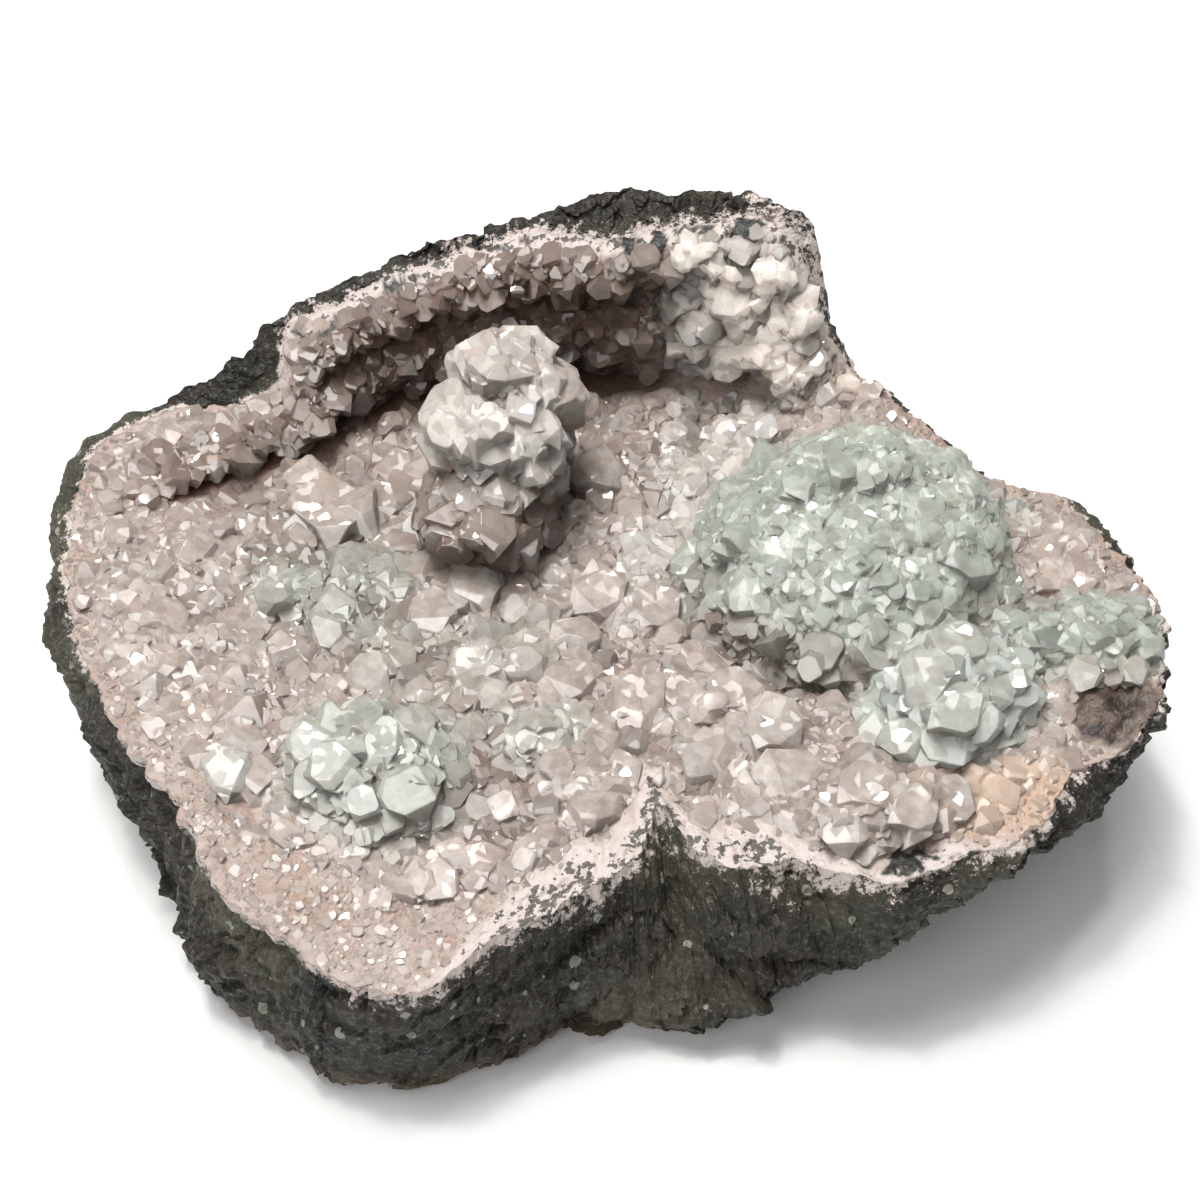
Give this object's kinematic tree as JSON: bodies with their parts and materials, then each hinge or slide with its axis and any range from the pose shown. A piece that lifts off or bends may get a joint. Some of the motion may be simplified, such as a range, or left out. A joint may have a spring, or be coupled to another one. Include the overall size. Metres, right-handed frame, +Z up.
{
  "type": "apophyllite geode",
  "caption": "Broken basalt cavity lined with a pale pink crust of crystals and pale green apophyllite clusters, resting on its flat underside.",
  "frame": {"origin": "middle of the flat under the basalt, on the surface it stands on", "axes": "+Z up, +X along the specimen's length toward its overhanging end, +Y toward the high back wall of the hollow"},
  "size_m": [0.2639, 0.203, 0.1],
  "materials": {
    "basalt": "rough broken rock",
    "zeolite_crust": "milky translucent crystal"
  },
  "bodies": {
    "root": {"basalt_matrix": "basalt", "crystal_crust": "zeolite_crust"}
  },
  "joints": []
}
